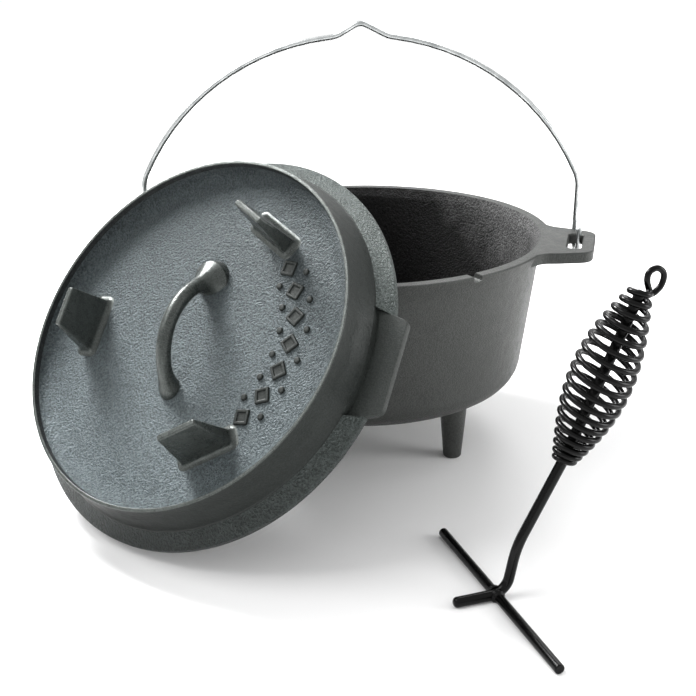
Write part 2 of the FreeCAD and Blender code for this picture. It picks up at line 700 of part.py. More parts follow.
def make_lifter():
    """The lifter: bent rod, welded crossbar, spring-wire grip and hanging eye."""
    rod_radius = size("rod_radius")
    rod = bent_wire("lifter_rod", [
        lifter_point(-size("hook_back"), rod_radius),
        lifter_point(size("heel_out"), rod_radius),
        lifter_point(size("knee_out"), size("knee_up")),
        lifter_point(size("neck_out"), size("neck_up")),
        lifter_point(size("grip_top_out"), size("grip_top_up")),
    ], [size("heel_round"), size("knee_round"), size("knee_round")], "rod_radius")

    crossing = lifter_point(0.0, rod_radius)
    arms = []
    welds = []
    for side, way in (("near", -90), ("far", 90)):
        x, y = turned(1.0, 0.0, size("lifter_azimuth") + way)
        along = Vector(x, y, 0)
        bar = primitive("Cylinder", f"arm_{side}_bar", Placement(crossing, Rotation(UP, along)),
                        Radius="Sizes.arm_radius", Height="Sizes.arm_long")
        arms.append(combined("Cut", f"lifter_crossbar_{side}", bar, rod))
        root = crossing + along * (size("rod_radius") / 2)
        bead = primitive("Cone", f"weld_{side}_bead", Placement(root, Rotation(UP, along)),
                         Radius1="Sizes.weld_radius", Radius2="Sizes.arm_radius + 0.3",
                         Height="Sizes.weld_long")
        corner = crossing - Vector(4 * rod_radius, 4 * rod_radius, rod_radius - NEAR)
        space = primitive("Box", f"weld_{side}_space", Placement(corner, Rotation()),
                          Length="8 * Sizes.rod_radius", Width="8 * Sizes.rod_radius",
                          Height="4 * Sizes.rod_radius")
        trimmed = combined("Common", f"weld_{side}_trimmed", bead, space)
        hollow = combined("Cut", f"weld_{side}_hollow", trimmed, bar)
        welds.append(combined("Cut", f"lifter_weld_{side}", hollow, rod))

    coil = make_coil()
    eye = bent_wire("eye_wire", [
        lifter_point(size("grip_top_out") + 3.8, size("grip_top_up") - 0.5),
        lifter_point(size("grip_top_out") + 3.0, size("grip_top_up") + 12.5),
        lifter_point(size("grip_top_out") + 15.4, size("grip_top_up") + 13.5),
        lifter_point(size("grip_top_out") + 14.8, size("grip_top_up") + 1.5),
        lifter_point(size("grip_top_out") + 7.5, size("grip_top_up") - 4.5),
    ], [size("eye_radius"), size("eye_radius"), size("eye_radius")], "coil_wire")
    loop = combined("Cut", "lifter_hanging_eye", combined("Cut", "eye_over_coil", eye, coil), rod)
    return [rod] + arms + welds + [coil, loop]


def make_coil():
    """The grip's coil as one ribbed barrel round the rod, a rib for each turn."""
    low = lifter_point(size("neck_out"), size("neck_up"))
    high = lifter_point(size("grip_top_out"), size("grip_top_up"))
    length = (high - low).Length
    turns = int(size("coil_turns"))
    wire = size("coil_wire")

    def middle(part):
        """Radius to the middle of the wire, part of the way along the grip."""
        return size("coil_end") + size("coil_bulge") * max(sin(pi * part), 0.0) ** 0.8

    def place(part, offset):
        radius = max(middle(part) + offset, size("rod_radius"))
        return Vector(radius, 0, part * length)

    edges = []
    groove = -0.3 * wire
    inside = -0.85 * wire
    for turn in range(turns):
        start = place(turn / turns, groove)
        crest = place((turn + 0.5) / turns, wire)
        end = place((turn + 1) / turns, groove)
        edges.append(Part.Arc(start, crest, end).toShape())
    inner = [place(step / 9, inside) for step in range(9, -1, -1)]
    inner[0] = Vector(size("rod_radius"), 0, length)
    inner[-1] = Vector(size("rod_radius"), 0, 0)
    outline = [place(1.0, groove)] + inner + [place(0.0, groove)]
    for start, end in zip(outline, outline[1:]):
        edges.append(Part.LineSegment(start, end).toShape())
    section = doc.addObject("Part::Feature", "coil_section")
    section.Shape = Part.Face(Part.Wire(Part.__sortEdges__(edges)))
    coil = doc.addObject("Part::Revolution", "lifter_grip_coil")
    coil.Source = section
    coil.Axis = UP
    coil.Base = ORIGIN
    coil.Angle = 360.0
    coil.Solid = True
    coil.Label = "lifter_grip_coil"
    coil.Placement = Placement(low, Rotation(UP, high - low))
    return coil


# ------------------------------------------------------------------ the whole

def make_all():
    """Build every sub-part and return those that become nodes."""
    bowl = make_bowl()
    parts = [bowl]
    for side, turn in (("right", 0), ("left", 180)):
        parts.append(make_ear(side, size("ear_azimuth") + turn, bowl))
    for number, side in enumerate(("right", "back", "left")):
        parts.append(make_leg(side, size("leg_azimuth") + 120 * number))
    parts.append(make_bail())
    pose = lid_pose()
    parts.append(make_lid_dish())
    parts[-1].Placement = pose
    for piece in (make_lid_handle(), make_lid_ornament()):
        piece.Placement = pose
        parts.append(piece)
    for number, side in enumerate(("upper", "left", "right")):
        parts.append(make_lid_foot(side, size("foot_angle") + 120 * number, pose))
    parts += make_lifter()
    doc.recompute()
    return parts


def check_document(parts):
    """Stop if any object failed or any sub-part has no sound shape."""
    for item in doc.Objects:
        if "Invalid" in item.State or "Error" in item.State:
            raise RuntimeError(f"{item.Name} failed: {item.State}")
    for part in parts:
        if part.Shape.isNull() or not part.Shape.isValid():
            raise RuntimeError(f"{part.Label} has no sound shape")


def export(parts):
    """Write one STEP file for each node."""
    os.makedirs("parts", exist_ok=True)
    for part in parts:
        part.Shape.exportStep(f"parts/{part.Label}.step")
        box = part.Shape.BoundBox
        print(f"{part.Label}: {len(part.Shape.Solids)} solid(s), volume {part.Shape.Volume:.0f}, "
              f"z {box.ZMin:.2f} to {box.ZMax:.2f}")


parts = make_all()
check_document(parts)
export(parts)
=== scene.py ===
"""Looks of the cast iron dutch oven: the two castings, the bail, the lid lifter, materials and stage."""
import math

import bmesh
import bpy
import numpy as np
from mathutils import Euler, Matrix, Vector


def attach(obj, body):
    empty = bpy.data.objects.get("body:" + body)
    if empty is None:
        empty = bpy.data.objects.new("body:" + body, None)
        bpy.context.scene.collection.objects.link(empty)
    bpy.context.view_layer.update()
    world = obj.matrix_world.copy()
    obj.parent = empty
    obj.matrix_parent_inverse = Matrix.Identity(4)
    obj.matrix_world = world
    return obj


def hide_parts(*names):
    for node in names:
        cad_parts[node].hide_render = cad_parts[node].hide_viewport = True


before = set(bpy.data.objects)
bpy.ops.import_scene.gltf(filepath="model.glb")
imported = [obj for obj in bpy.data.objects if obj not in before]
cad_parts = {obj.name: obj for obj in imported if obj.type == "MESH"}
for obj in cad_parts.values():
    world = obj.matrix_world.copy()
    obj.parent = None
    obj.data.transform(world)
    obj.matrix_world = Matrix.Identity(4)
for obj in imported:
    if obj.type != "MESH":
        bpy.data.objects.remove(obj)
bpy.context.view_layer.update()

# Shapes are worked out in millimetres and degrees, in the same frame as the CAD model, and stored
# in metres. A point of a turned form is (radius, height).
MM = 0.001
SHARP_ANGLE = math.radians(32)
# Vertices closer than this, in metres, are one.
SAME_PLACE = 1e-6
# A direction that no path starts along; it gives the first ring of a tube its sides.
ODD_DIRECTION = (0.31, 0.52, 0.79)

# ------------------------------------------------------------------ sizes of the pot
RIM_TOP = 173.0
RIM_OUTER = 152.4
RIM_INNER = 143.4
# Radii of two points near the middle of the rim's flat top.
RIM_FLAT = (147.5, 146.0)
BAND_FOOT = (148.3, 161.8)
BAND_LOW = 162.9
WALL_TOP = 144.1
WALL_FOOT = 129.1
BASE = 51.5
FLOOR = 57.5
BASE_ROUND = 20.5
FLOOR_ROUND = 14.0
BEVEL_FOOT = (139.4, 165.0)
INNER_FOOT = 124.9
RIM_ROUND = 1.2
# How far the band stands out from the wall below it, beyond the CAD model's step.
BAND_STEP = 0.8
# Points of the inside's outline that still have the outside's finish.
RIM_POINTS = 5

EAR_AZIMUTH = -9.1
EAR_UNDER = 164.5
EAR_OUTLINE = [(136.0, 54.0), (151.0, 39.5), (185.5, 28.9), (185.5, 0.0)]
EAR_ROUNDS = [16.0, 10.6]
EAR_EDGE = 1.5
EAR_COVE = 2.5
# The most of an ear's reach that its cove or its edge takes up.
EAR_SHARE = 0.45
EAR_LEVELS = (166.8, 169.0, 171.0)
EAR_SPAN = 22.0
# Degrees between sections of the pot, over an ear and elsewhere.
EAR_STEP = 0.25
WALL_STEP = 1.0
# A slot's middle from the pot's axis, and half its size outward and across.
SLOT_MIDDLE = 170.5
SLOT_HALF = (5.5, 20.5)
SLOT_ROUND = 4.0
SLOT_FLARE = 0.9

NOTCH_AZIMUTH = -53.3
NOTCH_WIDE = 7.3
NOTCH_DEEP = 5.0
NOTCH_ROUND = 2.2
NOTCH_REACH = (132.0, 158.0)

LEG_CIRCLE = 95.1
LEG_AZIMUTHS = (-36.0, 84.0, 204.0)
LEG_OUTLINE = [(0.0, 0.0), (7.1, 0.0), (10.1, 35.0), (10.6, 43.0), (14.2, 51.8), (14.2, 53.0), (0.0, 53.0)]
LEG_ROUNDS = [1.8, 30.0, 7.0, 0.2, 0.0]

# ------------------------------------------------------------------ sizes of the lid
LID_MIDDLE = (-100.1, -136.9, 120.4)
LID_TURN = -34.08
LID_LEAN = 49.41
PLATE_TOP = 25.9
FLANGE_OUTER = 150.5
SKIRT_FOOT = 138.5
LIP_TOP = 38.5
LID_STEP = 0.75
# Borders between the finishes on the lid's section: two heights and two radii.
SHOULDER_FROM = 2.0
SKIRT_FROM = 11.4
SKIRT_INNER = 131.9
PLATE_OUTER = 130.2
TAB_AZIMUTHS = (8.0, 188.0)
TAB_THICK = 6.35
TAB_ROUND = 5.86
TAB_ROOT = 137.0
TAB_OUT = 157.9
TAB_TIP_HALF = 32.7
TAB_ROOT_HALF = 38.7
# The step over a tab: how far it is cut past the tab's edge, and how high up.
RECESS_PAST = 8.0
RECESS_TOP = 34.0

HANDLE_ARC = 45.9
HANDLE_DROP = 21.0
HANDLE_BAR = 5.28
HANDLE_SWEEP = (18, 162)
# Radii of the bar where it meets the plate, the height of that swelling and how steep it is.
HANDLE_ROOTS = (15.5, 8.6)
HANDLE_FLARE = 15.0
HANDLE_SWELL = 2.4
HANDLE_ANGLE = 95.8

FOOT_CIRCLE = 91.7
FOOT_ANGLES = (69.0, 189.0, 309.0)
# Half the thickness and half the width of a foot.
FOOT_BASE = (5.6, 20.55)
FOOT_TIP = (2.2, 14.65)
FOOT_ROUND = 1.6
FOOT_TALL = 36.7
FOOT_COVE = 4.0
FOOT_EDGE = 1.17

ORNAMENT_CIRCLE = 86.0
ORNAMENT_TALL = 1.37
ORNAMENT_SUNK = 0.6
ORNAMENT_FIRST = -31.0
ORNAMENT_STEP = 13.2
LOZENGES = 7
LOZENGE_HALF = 5.4
LOZENGE_ROUND = 1.1
STUD_RADIUS = 2.35

# ------------------------------------------------------------------ sizes of the bail and the lifter
# Wires and bars are given by their radius.
BAIL_WIRE = 2.1
PIVOT = (171.67, 168.75)
HOOK_RADIUS = 10.6
HOOK_DRIFT = 1.2
HOOK_END = 10.0

# Where the rod crosses the crossbar on the ground, and the way the rod's upright plane faces.
CROSSING = (102.7, -264.7)
LIFTER_AZIMUTH = 23.33
ROD = 3.5
ARM = 3.3
ARM_LONG = 85.3
WELD_FROM = 1.2
WELD_LONG = 5.6
WELD_RADIUS = 5.0
WELD_RIPPLE = 0.28
WELD_RIPPLES = 3.2
WELD_STEPS = 18
WELD_LOW = 0.3
# Points in the rod's plane are (out from the crossing, up).
GRIP_LOW = (43.0, 92.0)
GRIP_HIGH = (90.2, 200.0)
EYE = [(95.4, 199.6), (93.6, 205.0), (94.0, 210.0), (97.2, 212.6), (101.0, 212.6),
       (104.4, 210.0), (105.2, 206.0), (103.6, 201.2), (99.8, 197.6), (96.0, 196.0)]
COIL_WIRE = 2.0
COIL_END = 5.5
COIL_BULGE = 13.6
COIL_FULLNESS = 0.95
COIL_TURNS = 18
# Points in one turn, and how many of the last turn's are left out for the eye.
COIL_STEPS = 40
COIL_SHORT = 5
# Powers that crowd the turns together at the lower and at the upper end.
COIL_CROWDING = (1.3, 1.16)
# How far a turn leans out of square to the rod, over its radius beyond the end's.
COIL_SLANT = 0.36


# ------------------------------------------------------------------ materials

# The iron's skin: broad mottle, clouds and how deep they are, distance between pits.
MOTTLE = 28.0
CLOUD = 7.0
CLOUD_DEPTH = 0.35
PIT_SPACING = 4.6
# The finest sand's size over the grain's, and the bright specks' tone over the light tone.
FINE_SAND = 0.42
SPECK_BRIGHTER = 2.6
# How far the mottle pushes the edge of a tone shift, either way.
RAGGED = 20.0
# Directions along which painted light and shade shift a tone.
UP = (0.0, 0.0, 1.0)
UP_THE_RIGHT_WALL = (0.75, 0.0, 0.66)


class Paint:
    """A node material being built; every texture is laid in the object's own space."""

    def __init__(self, name):
        self.material = bpy.data.materials.new(name)
        self.material.use_nodes = True
        self.tree = self.material.node_tree
        self.shader = self.tree.nodes["Principled BSDF"]
        self.space = self.tree.nodes.new("ShaderNodeTexCoord").outputs["Object"]

    def node(self, kind, **values):
        """A node with plain values set on its sockets or properties."""
        node = self.tree.nodes.new(kind)
        for key, value in values.items():
            socket = node.inputs.get(key.replace("_", " ").title())
            if socket is not None:
                socket.default_value = value
            else:
                setattr(node, key, value)
        return node

    def link(self, out, into):
        """Join an output to an input."""
        self.tree.links.new(out, into)

    def noise(self, grain, detail, rough=0.55):
        """Noise whose features are about grain millimetres across."""
        node = self.node("ShaderNodeTexNoise", scale=1 / (grain * MM), detail=detail, roughness=rough)
        self.link(self.space, node.inputs["Vector"])
        return node.outputs["Fac"]

    def spread(self, value, low, high, out_low, out_high):
        """A value carried from one range to another, held at the ends."""
        node = self.tree.nodes.new("ShaderNodeMapRange")
        for socket, number in zip(("From Min", "From Max", "To Min", "To Max"),
                                  (low, high, out_low, out_high)):
            node.inputs[socket].default_value = number
        self.link(value, node.inputs["Value"])
        return node.outputs["Result"]

    def maths(self, operation, first, second):
        """Arithmetic on two outputs, or on an output and a number."""
        node = self.node("ShaderNodeMath", operation=operation)
        for socket, value in zip(node.inputs, (first, second)):
            if isinstance(value, (int, float)):
                socket.default_value = value
            else:
                self.link(value, socket)
        return node.outputs[0]

    def blend(self, first, second, share):
        """Two patterns added, share of the second and the rest of the first."""
        return self.maths("ADD", self.maths("MULTIPLY", first, 1 - share),
                          self.maths("MULTIPLY", second, share))

    def roughen(self, broad, fine):
        """Roughness as the sum of a broad and a fine pattern."""
        self.link(self.maths("ADD", broad, fine), self.shader.inputs["Roughness"])

    def mix(self, factor, first, second):
        """A colour between two; each is a colour or an output."""
        node = self.node("ShaderNodeMix", data_type="RGBA")
        self.link(factor, node.inputs[0])
        for socket, value in zip((node.inputs[6], node.inputs[7]), (first, second)):
            if isinstance(value, tuple):
                socket.default_value = (*value, 1)
            else:
                self.link(value, socket)
        return node.outputs[2]

    def bump(self, height, depth, before=None):
        """A bump of the given depth in millimetres, on top of an earlier one."""
        node = self.node("ShaderNodeBump", distance=depth * MM)
        self.link(height, node.inputs["Height"])
        if before is not None:
            self.link(before, node.inputs["Normal"])
        return node.outputs["Normal"]


def cast_iron(name, dark, light, rough, grain, depth,
              metallic=0.5, pits=0.4, sheen=0.5, painted_light_shift=None):
    """Seasoned cast iron: mottled dark grey, sand grain from the mould, scattered pits, bright specks.

    The last argument paints light and shade: it shifts the tone lighter or darker along a direction. It is
    (direction, start, end, factor at the start, factor at the end), where start and end are distances from
    the origin along that direction.
    """
    paint = Paint(name)
    mottle = paint.noise(MOTTLE, detail=5.0, rough=0.62)
    cloud = paint.noise(CLOUD, detail=4.0)
    sand = paint.noise(grain, detail=2.5, rough=0.5)
    fine = paint.noise(grain * FINE_SAND, detail=2.0)
    tone = paint.blend(paint.blend(mottle, cloud, 0.5), paint.blend(sand, fine, 0.25), 0.78)
    colour = paint.mix(paint.spread(tone, 0.41, 0.59, 0.0, 1.0), dark, light)
    bright = tuple(min(part * SPECK_BRIGHTER, 1.0) for part in light)
    colour = paint.mix(paint.spread(fine, 0.62, 0.74, 0.0, 0.5), colour, bright)
    # Painted light and shade: the tone is scaled lighter or darker along a direction, with a ragged edge.
    if painted_light_shift is not None:
        direction, start, end, first, last = painted_light_shift
        along = paint.node("ShaderNodeVectorMath", operation="DOT_PRODUCT")
        paint.link(paint.space, along.inputs[0])
        along.inputs[1].default_value = direction
        push = paint.maths("MULTIPLY", mottle, 2 * RAGGED * MM)
        ragged = paint.maths("ADD", along.outputs["Value"], push)
        factor = paint.spread(ragged, (start + RAGGED) * MM, (end + RAGGED) * MM, first, last)
        scale = paint.node("ShaderNodeVectorMath", operation="SCALE")
        paint.link(colour, scale.inputs[0])
        paint.link(factor, scale.inputs["Scale"])
        colour = scale.outputs[0]
    paint.link(colour, paint.shader.inputs["Base Color"])
    gloss = paint.spread(cloud, 0.3, 0.7, rough - 0.05, rough + 0.06)
    paint.roughen(gloss, paint.spread(fine, 0.3, 0.7, -0.04, 0.05))
    paint.shader.inputs["Metallic"].default_value = metallic
    paint.shader.inputs["Specular IOR Level"].default_value = sheen
    holes = paint.node("ShaderNodeTexVoronoi", scale=1 / (PIT_SPACING * MM))
    paint.link(paint.space, holes.inputs["Vector"])
    sunk = paint.spread(holes.outputs["Distance"], 0.05, 0.16, -pits, 0.0)
    height = paint.maths("ADD", paint.maths("ADD", sand, paint.maths("MULTIPLY", fine, 0.45)), sunk)
    skin = paint.bump(cloud, CLOUD_DEPTH, before=paint.bump(height, depth))
    paint.link(skin, paint.shader.inputs["Normal"])
    return paint.material


def galvanised(name):
    """Zinc-plated wire: soft spangle, dull patches and a fine unevenness."""
    paint = Paint(name)
    patch = paint.noise(9.0, detail=4.0)
    fine = paint.noise(0.7, detail=3.0)
    spangle = paint.spread(patch, 0.35, 0.65, 0.0, 1.0)
    colour = paint.mix(spangle, (0.40, 0.42, 0.42), (0.70, 0.72, 0.72))
    paint.link(colour, paint.shader.inputs["Base Color"])
    paint.roughen(paint.spread(patch, 0.3, 0.7, 0.34, 0.2), paint.spread(fine, 0.3, 0.7, -0.05, 0.07))
    paint.shader.inputs["Metallic"].default_value = 1.0
    paint.link(paint.bump(fine, 0.035), paint.shader.inputs["Normal"])
    return paint.material


def black_paint(name):
    """Glossy black paint on steel wire, with orange peel and thin dusty scuffs."""
    paint = Paint(name)
    peel = paint.noise(1.6, detail=2.0)
    scuff = paint.noise(0.8, detail=5.0, rough=0.7)
    patch = paint.noise(14.0, detail=3.0)
    dust = paint.spread(scuff, 0.6, 0.75, 0.0, 0.6)
    colour = paint.mix(dust, (0.002, 0.002, 0.002), (0.014, 0.014, 0.014))
    paint.link(colour, paint.shader.inputs["Base Color"])
    paint.roughen(paint.spread(patch, 0.3, 0.7, 0.16, 0.27), paint.spread(scuff, 0.55, 0.75, 0.0, 0.18))
    paint.shader.inputs["Specular IOR Level"].default_value = 0.13
    paint.shader.inputs["Coat Weight"].default_value = 0.06
    paint.shader.inputs["Coat Roughness"].default_value = 0.03
    paint.link(paint.bump(peel, 0.05), paint.shader.inputs["Normal"])
    return paint.material


def floor_finish(name):
    """Pale matt studio floor with the faintest unevenness."""
    paint = Paint(name)
    tone = paint.noise(180.0, detail=2.0)
    colour = paint.mix(tone, (0.93, 0.93, 0.93), (0.95, 0.95, 0.95))
    paint.link(colour, paint.shader.inputs["Base Color"])
    paint.shader.inputs["Roughness"].default_value = 0.85
    paint.shader.inputs["Specular IOR Level"].default_value = 0.1
    return paint.material


OUTSIDE = cast_iron("pot_outside", (0.032, 0.034, 0.032), (0.050, 0.053, 0.050), 0.46, 1.1, 0.35)
# The inside's tones, far darker than the outside's, are painted shade of the pot's hollow; the shift up
# the right wall, up to 15 times lighter, is a painted highlight.
INSIDE = cast_iron("pot_inside", (0.003, 0.003, 0.003), (0.010, 0.010, 0.010), 0.40, 1.7, 2.2,
                   metallic=0.0, sheen=0.08, painted_light_shift=(UP_THE_RIGHT_WALL, 150, 215, 1.0, 15.0))
UNDERSIDE = cast_iron("lid_underside", (0.018, 0.020, 0.021), (0.04, 0.043, 0.044), 0.5, 1.5, 0.6)
# The shoulder's light tones are partly the iron's own tone and partly painted sheen, the light caught by
# the sand grain; its darkening lower down on the leaning lid is painted shade.
SHOULDER = cast_iron("lid_shoulder", (0.038, 0.047, 0.044), (0.096, 0.113, 0.108), 0.44, 1.5, 2.4,
                     painted_light_shift=(UP, 15, 150, 0.35, 1.0))
# The skirt's darkening lower down is painted shade.
SKIRT = cast_iron("lid_skirt", (0.015, 0.018, 0.0165), (0.025, 0.029, 0.027), 0.38, 1.2, 0.16,
                  metallic=0.2, pits=0.2, sheen=0.24, painted_light_shift=(UP, 10, 120, 0.6, 1.0))
# The plate's light tones are partly the iron's own tone and partly painted sheen, the light caught by the
# sand grain; lighter lower down and darker higher up is painted light and shade.
PLATE = cast_iron("lid_plate", (0.050, 0.061, 0.065), (0.106, 0.128, 0.134), 0.42, 1.5, 3.6, pits=0.2,
                  painted_light_shift=(UP, 30, 190, 1.75, 0.85))
RAISED = cast_iron("lid_raised", (0.044, 0.050, 0.047), (0.070, 0.079, 0.074), 0.28, 1.1, 0.16, pits=0.2)
TAB = cast_iron("lid_tab", (0.023, 0.027, 0.025), (0.036, 0.041, 0.038), 0.46, 1.1, 0.25,
                metallic=0.2, sheen=0.3)
POT_FINISHES = [OUTSIDE, INSIDE]
LID_FINISHES = [UNDERSIDE, SHOULDER, SKIRT, PLATE, RAISED, TAB]
# A face's zone is the place of its finish in its piece's list.
OUTSIDE_ZONE, INSIDE_ZONE = range(len(POT_FINISHES))
UNDERSIDE_ZONE, SHOULDER_ZONE, SKIRT_ZONE, PLATE_ZONE, RAISED_ZONE, TAB_ZONE = range(len(LID_FINISHES))
ZINC = [galvanised("bail_wire_zinc")]
ENAMEL = [black_paint("lifter_enamel")]
FLOOR_FINISH = floor_finish("studio_floor")


# ------------------------------------------------------------------ shape helpers

def rounded_path(points, radii, steps=6):
    """A path in the plane or in space with its inner corners rounded, one radius for each."""
    points = [np.array(point, float) for point in points]
    path = [points[0]]
    for before, corner, after, radius in zip(points, points[1:], points[2:], radii):
        if radius <= 0:
            path.append(corner)
            continue
        back = (before - corner) / np.linalg.norm(before - corner)
        ahead = (after - corner) / np.linalg.norm(after - corner)
        half = math.acos(float(np.clip(back @ ahead, -1, 1))) / 2
        middle = (back + ahead) / np.linalg.norm(back + ahead)
        centre = corner + middle * radius / math.sin(half)
        start = corner + back * radius / math.tan(half) - centre
        end = corner + ahead * radius / math.tan(half) - centre
        turn = math.pi - 2 * half
        for step in range(steps + 1):
            share = step / steps
            blend = start * math.sin((1 - share) * turn) + end * math.sin(share * turn)
            path.append(centre + blend / math.sin(turn))
    path.append(points[-1])
    return np.array(path)


def rounded_loop(corners, radius, inset=0.0, steps=5):
    """A convex closed outline, drawn in by inset and with every corner rounded."""
    corners = np.array(corners, float)
    count = len(corners)
    lines = []
    for index in range(count):
        start = corners[index]
        along = corners[(index + 1) % count] - start
        along /= np.linalg.norm(along)
        inward = np.array([-along[1], along[0]])
        lines.append((start + inward * inset, along))
    moved = []
    for index in range(count):
        (start, along), (end, beyond) = lines[index - 1], lines[index]
        cross = along[0] * beyond[1] - along[1] * beyond[0]
        offset = end - start
        moved.append(start + along * (offset[0] * beyond[1] - offset[1] * beyond[0]) / cross)
    radius = max(radius - inset, 0.05)
    loop = []
    for index in range(count):
        corner = moved[index]
        before = (moved[index - 1] + corner) / 2
        after = (moved[(index + 1) % count] + corner) / 2
        loop.extend(rounded_path([before, corner, after], [radius], steps)[1:-1])
    return np.array(loop)


def box_corners(half_x, half_y):
    """The four corners of a rectangle round its middle, anticlockwise."""
    return [(half_x, -half_y), (half_x, half_y), (-half_x, half_y), (-half_x, -half_y)]


def grid(points, wrap_rows=False, wrap_columns=False):
    """Quads over rows of points, as vertices and faces."""
    rows, columns = points.shape[:2]
    index = np.arange(rows * columns).reshape(rows, columns)
    if wrap_rows:
        index = np.vstack([index, index[:1]])
    if wrap_columns:
        index = np.hstack([index, index[:, :1]])
    corners = (index[:-1, :-1], index[1:, :-1], index[1:, 1:], index[:-1, 1:])
    quads = np.stack(corners, -1).reshape(-1, 4)
    return points.reshape(-1, 3), quads.tolist()


def turned(points, azimuth):
    """Points turned about the vertical through the origin."""
    angle = math.radians(azimuth)
    turn = np.array([
        [math.cos(angle), math.sin(angle), 0],
        [-math.sin(angle), math.cos(angle), 0],
        [0, 0, 1],
    ])
    return np.asarray(points, float) @ turn


def lathe(section, azimuths, zones=None):
    """A turned form; section(azimuth) gives its (radius, height) points, zones their materials."""
    rows = []
    for azimuth in azimuths:
        radius, height = np.array(section(azimuth)).T
        angle = math.radians(azimuth)
        rows.append(np.stack([radius * math.cos(angle), radius * math.sin(angle), height], 1))
    vertices, faces = grid(np.array(rows), wrap_rows=True)
    if zones is None:
        zones = [0] * (len(rows[0]) - 1)
    return vertices, faces, zones * len(rows)


def stack(loops):
    """A closed solid through equal outlines, each given as (outline, height)."""
    rings = np.array([[(x, y, height) for x, y in outline] for outline, height in loops])
    vertices, faces = grid(rings, wrap_columns=True)
    count = rings.shape[1]
    faces.append(list(range(count)))
    faces.append(list(range(len(vertices) - count, len(vertices))))
    return vertices, faces, [0] * len(faces)


def tube(path, radii, sides):
    """A round bar along a path, with its frame carried along without twist."""
    path = np.array(path, float)
    radii = np.broadcast_to(np.array(radii, float), len(path))
    tangents = np.gradient(path, axis=0)
    tangents /= np.linalg.norm(tangents, axis=1)[:, None]
    side = np.cross(tangents[0], ODD_DIRECTION)
    side /= np.linalg.norm(side)
    angles = np.linspace(0, 2 * math.pi, sides, endpoint=False)
    rings = []
    for point, tangent, radius in zip(path, tangents, radii):
        side = side - tangent * (side @ tangent)
        side /= np.linalg.norm(side)
        other = np.cross(tangent, side)
        round_it = np.cos(angles)[:, None] * side + np.sin(angles)[:, None] * other
        rings.append(point + round_it * radius)
    vertices, faces = grid(np.array(rings), wrap_columns=True)
    faces.append(list(range(sides)))
    faces.append(list(range(len(vertices) - sides, len(vertices))))
    return vertices, faces, [0] * len(faces)


def eased_ends(path, radius, ease, tip, steps=6):
    """A path with points added near both ends, and radii that round those ends over.

    The rounding is ease long, and tip is the share of the radius that is left at the very end.
    """
    path = np.array(path, float)
    first = (path[1] - path[0]) / np.linalg.norm(path[1] - path[0])
    last = (path[-1] - path[-2]) / np.linalg.norm(path[-1] - path[-2])
    turns = [step / steps * math.pi / 2 for step in range(steps + 1)]
    depths = [ease * (1 - math.cos(turn)) for turn in turns]
    widths = [radius * (tip + (1 - tip) * math.sin(turn)) for turn in turns]
    start = [path[0] + first * depth for depth in depths]
    end = [path[-1] - last * depth for depth in depths][::-1]
    points = np.array(start + list(path[1:-1]) + end)
    radii = widths + [radius] * (len(path) - 2) + widths[::-1]
    return points, radii


def mesh_object(name, parts, finishes):
    """One object of several closed parts in millimetres, each (vertices, faces, zones of finish)."""
    vertices, faces, zones = [], [], []
    for part_vertices, part_faces, part_zones in parts:
        start = len(vertices)
        vertices.extend(np.asarray(part_vertices, float) * MM)
        faces.extend([[start + corner for corner in face] for face in part_faces])
        zones.extend(part_zones)
    mesh = bpy.data.meshes.new(name)
    mesh.from_pydata([tuple(vertex) for vertex in vertices], [], faces)
    mesh.polygons.foreach_set("material_index", zones)
    work = bmesh.new()
    work.from_mesh(mesh)
    bmesh.ops.remove_doubles(work, verts=work.verts, dist=SAME_PLACE)
    bmesh.ops.recalc_face_normals(work, faces=work.faces)
    work.to_mesh(mesh)
    work.free()
    for finish in finishes:
        mesh.materials.append(finish)
    piece = bpy.data.objects.new(name, mesh)
    bpy.context.scene.collection.objects.link(piece)
    return piece


def apply_modifier(piece, modifier):
    """Apply one modifier to a piece."""
    bpy.context.view_layer.objects.active = piece
    piece.select_set(True)
    bpy.ops.object.modifier_apply(modifier=modifier.name)
    piece.select_set(False)


def carve(piece, tool, operation="DIFFERENCE"):
    """Cut a tool out of a piece, or join it on, and drop the tool."""
    modifier = piece.modifiers.new("carve", "BOOLEAN")
    modifier.operation = operation
    modifier.solver = "EXACT"
    modifier.object = tool
    apply_modifier(piece, modifier)
    bpy.data.objects.remove(tool)


def joined(name, pieces):
    """Several objects as one, without cutting them."""
    bpy.ops.object.select_all(action="DESELECT")
    for piece in pieces:
        piece.select_set(True)
    bpy.context.view_layer.objects.active = pieces[0]
    bpy.ops.object.join()
    pieces[0].select_set(False)
    pieces[0].name = name
    return pieces[0]


def smoothed(piece):
    """Smooth shading that keeps real edges and flat faces flat."""
    piece.data.shade_smooth()
    piece.data.set_sharp_from_angle(angle=SHARP_ANGLE)
    modifier = piece.modifiers.new("flat_faces", "WEIGHTED_NORMAL")
    modifier.keep_sharp = True
    apply_modifier(piece, modifier)
    return piece


# ------------------------------------------------------------------ pot

def band_radius(height):
    """Outer radius of the band under the rim at a height."""
    share = (height - BAND_FOOT[1]) / (RIM_TOP - BAND_FOOT[1])
    return BAND_FOOT[0] + (RIM_OUTER - BAND_FOOT[0]) * share


ear_edge = rounded_path(EAR_OUTLINE, EAR_ROUNDS, steps=14)
ear_angles = np.degrees(np.arctan2(ear_edge[:, 1], ear_edge[:, 0]))[::-1]
ear_radii = np.hypot(ear_edge[:, 0], ear_edge[:, 1])[::-1]


def ear_radius(azimuth):
    """How far the nearer ear reaches out at an azimuth; 0 away from the ears."""
    off = abs((azimuth - EAR_AZIMUTH + 90) % 180 - 90)
    if off > ear_angles[-1]:
        return 0.0
    straight = EAR_OUTLINE[-1][0] / math.cos(math.radians(off))
    if off < ear_angles[1]:
        return straight
    return float(np.interp(off, ear_angles, ear_radii))


